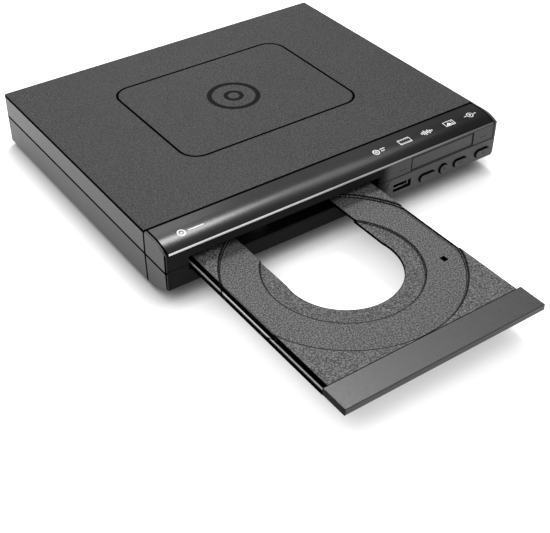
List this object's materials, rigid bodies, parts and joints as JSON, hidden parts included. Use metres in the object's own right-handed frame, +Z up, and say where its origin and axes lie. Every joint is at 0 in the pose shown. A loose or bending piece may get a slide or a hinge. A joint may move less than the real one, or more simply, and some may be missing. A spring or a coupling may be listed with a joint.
{
  "type": "disc player",
  "caption": "Compact front-loading disc player with its disc tray run out, grooved top panel, gloss visor, display window, front buttons and data socket.",
  "frame": {"origin": "centre of the base pan's underside, 2 mm above the surface the feet stand on", "axes": "+X to the player's right seen from the front, +Y to the back, +Z up; the tray runs out towards -Y"},
  "size_m": [0.221, 0.3141, 0.0343],
  "materials": {
    "cover_grain": "fine moulded grain, dark grey",
    "pan_grain": "fine moulded grain, mid dark grey",
    "front_plastic": "fine matte black plastic",
    "visor_gloss": "piano black gloss",
    "window_smoke": "smoked display window",
    "button_plastic": "satin dark grey",
    "rear_plastic": "fine matte black plastic",
    "foot_rubber": "matte black rubber",
    "screw_steel": "zinc plated",
    "board_green": "solder mask over glass cloth",
    "board_tan": "paper laminate",
    "chip_black": "moulded packages",
    "power_parts": "transformer tape and sleeves",
    "jack_yellow": "coloured socket",
    "jack_white": "coloured socket",
    "jack_red": "coloured socket",
    "inlet_black": "moulded socket",
    "contact_metal": "plated contacts",
    "socket_white": "moulded tongue",
    "display_amber": "digit block, unlit",
    "loader_black": "moulded frame",
    "gear_ivory": "natural acetal",
    "belt_rubber": "black belt",
    "motor_steel": "plated motor can",
    "tray_grain": "grained grey tray",
    "tray_satin": "smooth satin grey",
    "deck_black": "moulded deck",
    "turntable_black": "rubber faced turntable",
    "rod_steel": "ground steel",
    "lens_glass": "coated objective",
    "bridge_steel": "zinc plated sheet"
  },
  "bodies": {
    "housing": {"base_pan": "pan_grain", "top_cover": "cover_grain", "rear_panel": "rear_plastic", "upper_fascia": "front_plastic", "lower_fascia": "front_plastic", "visor": "visor_gloss", "display_window": "window_smoke", "rubber_feet": "foot_rubber", "case_screws": "screw_steel", "loader_screws": "screw_steel", "main_board": "board_green", "main_board_parts": "chip_black", "power_board": "board_tan", "power_parts": "power_parts", "av_board": "board_green", "video_jack": "jack_yellow", "left_jack": "jack_white", "right_jack": "jack_red", "mains_inlet": "inlet_black", "inlet_pins": "contact_metal", "usb_shell": "contact_metal", "usb_tongue": "socket_white", "front_board": "board_green", "tact_switches": "contact_metal", "display_module": "display_amber", "ir_receiver": "chip_black", "loader_frame": "loader_black", "loading_motor": "motor_steel", "drive_belt": "belt_rubber", "clamp_bridge": "bridge_steel"},
    "tray": {"disc_tray": "tray_grain", "tray_cover": "tray_satin"},
    "drive_gear": {"drive_gear": "gear_ivory"},
    "belt_pulley": {"belt_pulley": "gear_ivory"},
    "motor_pulley": {"motor_pulley": "gear_ivory"},
    "cam": {"cam_slider": "gear_ivory"},
    "pickup_deck": {"traverse_frame": "deck_black", "spindle_motor": "motor_steel", "guide_rods": "rod_steel", "sled_motor": "motor_steel"},
    "turntable": {"turntable": "turntable_black"},
    "sled": {"pickup_sled": "deck_black", "objective_lens": "lens_glass"},
    "lead_screw": {"lead_screw": "rod_steel"},
    "clamp_puck": {"clamp_puck": "gear_ivory"},
    "power_button": {"power_button": "button_plastic"},
    "stop_button": {"stop_button": "button_plastic"},
    "play_button": {"play_button": "button_plastic"},
    "open_button": {"open_button": "button_plastic"}
  },
  "joints": [
    {"name": "tray_slide", "type": "slide", "parent": "housing", "child": "tray", "axis": [0, 1, 0], "range_m": [0, 0.1217]},
    {"name": "drive_gear_spin", "type": "hinge", "parent": "housing", "child": "drive_gear", "pos_m": [-0.084, -0.06425, 0.0085], "axis": [0, 0, 1], "range_deg": [-1590, 5]},
    {"name": "belt_pulley_spin", "type": "hinge", "parent": "housing", "child": "belt_pulley", "pos_m": [-0.07, -0.06425, 0.0085], "axis": [0, 0, 1], "range_deg": [-5, 3703]},
    {"name": "motor_pulley_spin", "type": "hinge", "parent": "housing", "child": "motor_pulley", "pos_m": [-0.0414, -0.06425, 0.012], "axis": [0, 0, 1], "range_deg": [-5, 9282]},
    {"name": "deck_lift", "type": "hinge", "parent": "housing", "child": "pickup_deck", "pos_m": [-0.036, 0.06215, 0.0105], "axis": [-1, 0, 0], "range_deg": [0, 4]},
    {"name": "cam_slide", "type": "slide", "parent": "housing", "child": "cam", "axis": [1, 0, 0], "range_m": [0, 0.012]},
    {"name": "turntable_spin", "type": "hinge", "parent": "pickup_deck", "child": "turntable", "pos_m": [-0.036, -0.01512, 0.01161], "axis": [0, -0.0698, 0.9976], "continuous": true},
    {"name": "sled_slide", "type": "slide", "parent": "pickup_deck", "child": "sled", "axis": [0, 0.9976, 0.0698], "range_m": [0, 0.033]},
    {"name": "lead_screw_turn", "type": "hinge", "parent": "pickup_deck", "child": "lead_screw", "pos_m": [-0.0145, 0.02533, 0.00662], "axis": [0, 0.9976, 0.0698], "range_deg": [-5, 3965]},
    {"name": "clamp_spin", "type": "hinge", "parent": "housing", "child": "clamp_puck", "pos_m": [-0.036, -0.01485, 0.024], "axis": [0, 0, 1], "continuous": true},
    {"name": "power_press", "type": "slide", "parent": "housing", "child": "power_button", "axis": [0, 1, 0], "range_m": [0, 0.0006], "stiffness_N_per_m": 800},
    {"name": "stop_press", "type": "slide", "parent": "housing", "child": "stop_button", "axis": [0, 1, 0], "range_m": [0, 0.0006], "stiffness_N_per_m": 800},
    {"name": "play_press", "type": "slide", "parent": "housing", "child": "play_button", "axis": [0, 1, 0], "range_m": [0, 0.0006], "stiffness_N_per_m": 800},
    {"name": "open_press", "type": "slide", "parent": "housing", "child": "open_button", "axis": [0, 1, 0], "range_m": [0, 0.0006], "stiffness_N_per_m": 800}
  ],
  "couplings": [
    {"joint": "drive_gear_spin", "follows": "tray_slide", "rad_per_m": -227.27},
    {"joint": "belt_pulley_spin", "follows": "tray_slide", "rad_per_m": 530.3},
    {"joint": "motor_pulley_spin", "follows": "tray_slide", "rad_per_m": 1330.5},
    {"joint": "cam_slide", "follows": "deck_lift", "m_per_rad": 0.17189},
    {"joint": "lead_screw_turn", "follows": "sled_slide", "rad_per_m": 2094.4},
    {"joint": "clamp_spin", "follows": "turntable_spin", "ratio": 1}
  ]
}
